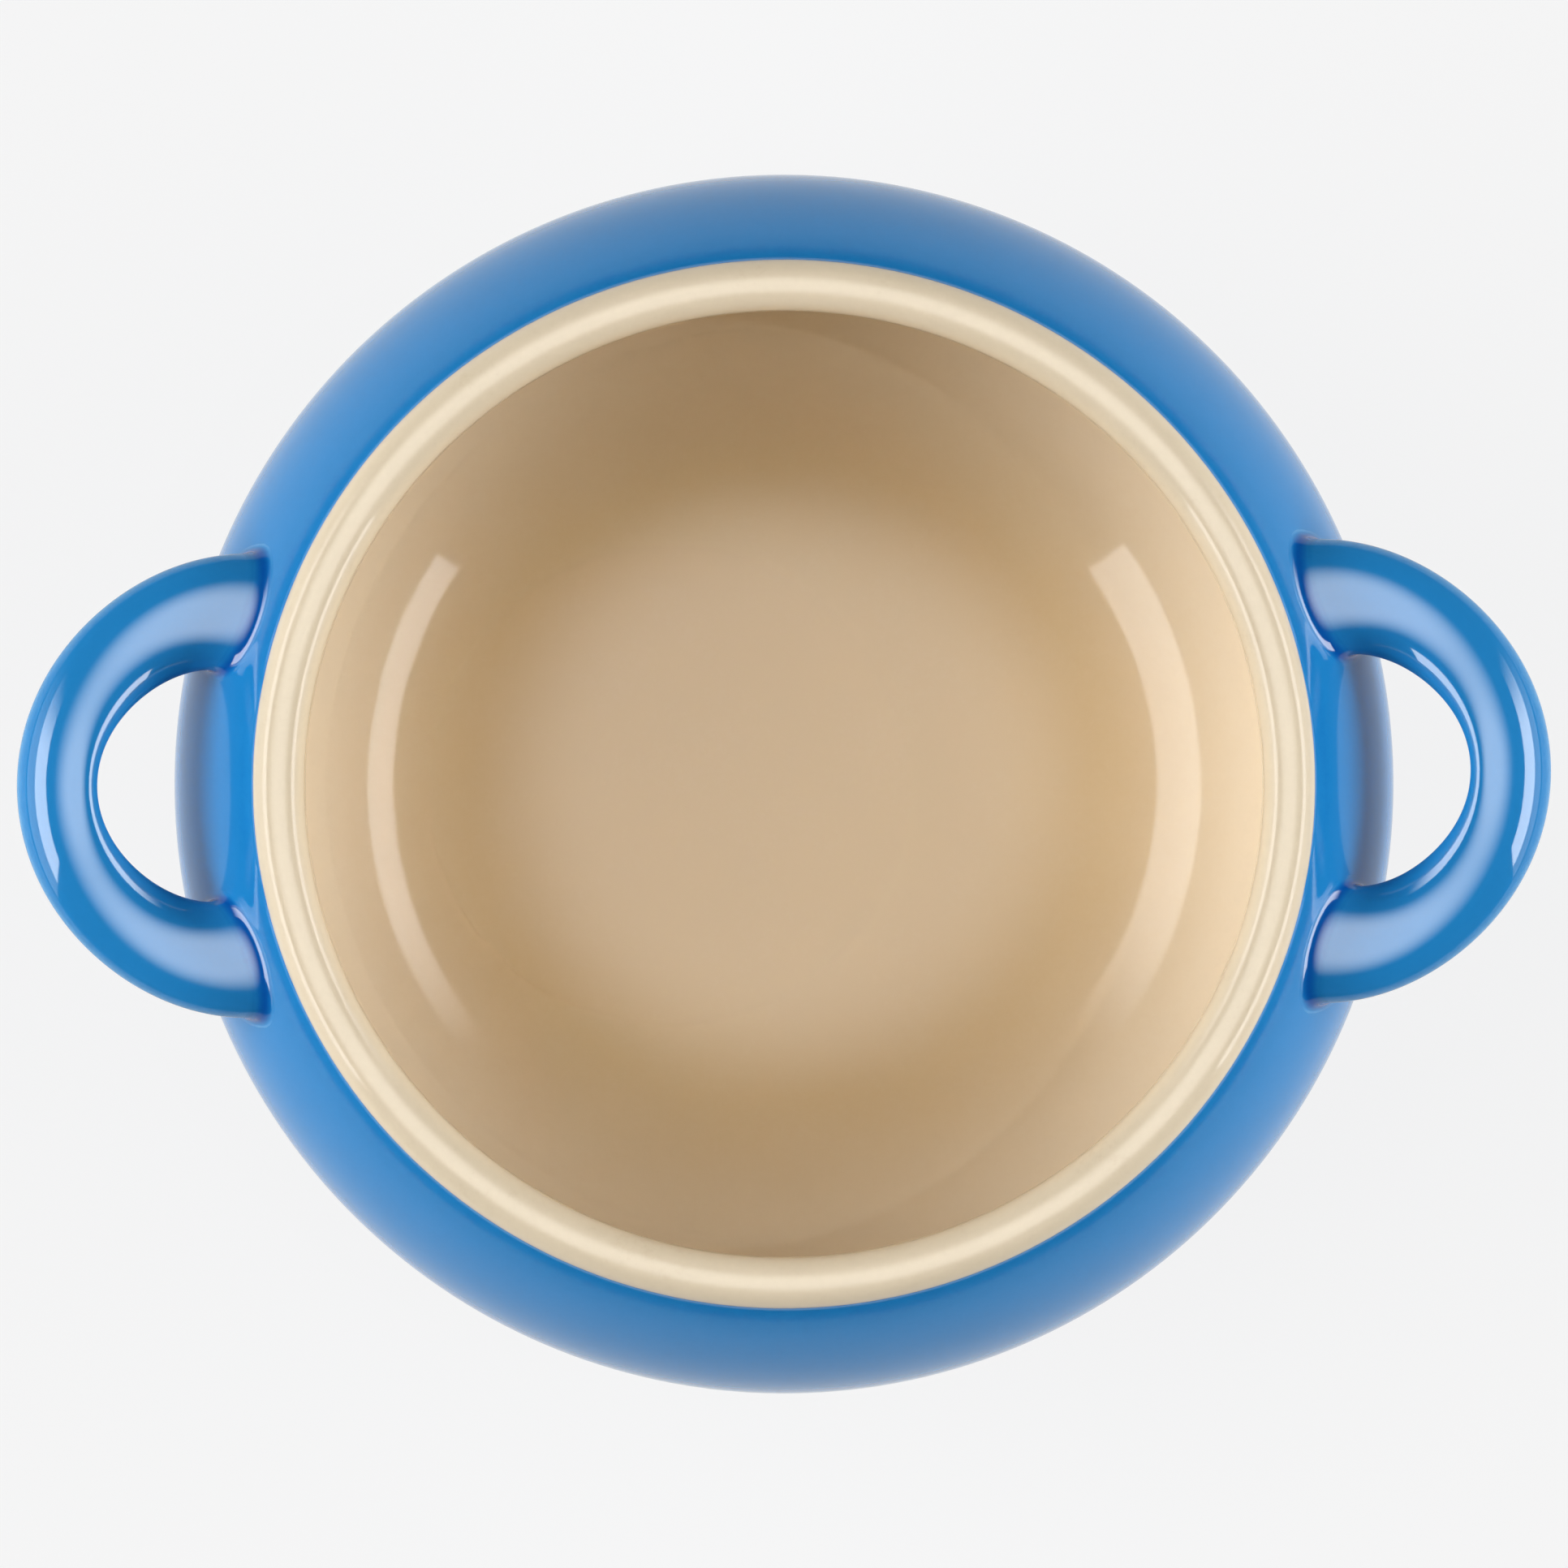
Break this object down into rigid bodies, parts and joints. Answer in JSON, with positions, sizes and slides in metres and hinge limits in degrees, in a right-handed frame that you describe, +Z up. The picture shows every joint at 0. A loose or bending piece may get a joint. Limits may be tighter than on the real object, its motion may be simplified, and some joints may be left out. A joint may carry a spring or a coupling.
{
  "type": "cocotte",
  "caption": "Small round stoneware cocotte, open, with a full belly, a rolled rim, loop handles and a bare foot ring, glazed blue outside and cream inside.",
  "frame": {"origin": "on the pot's axis, in the plane of the foot ring that it stands on", "axes": "+Z up along the pot's axis, +X towards the right handle, +Y towards the back"},
  "size_m": [0.1262, 0.102, 0.05],
  "materials": {
    "stoneware": "bare fired clay, matte",
    "cream_glaze": "glossy cream glaze with fine speckle",
    "blue_glaze": "glossy blue glaze, lighter where it runs thin"
  },
  "bodies": {
    "root": {"stoneware_body": "stoneware", "inner_glaze": "cream_glaze", "outer_glaze": "blue_glaze", "left_handle": "blue_glaze", "right_handle": "blue_glaze"}
  },
  "joints": []
}
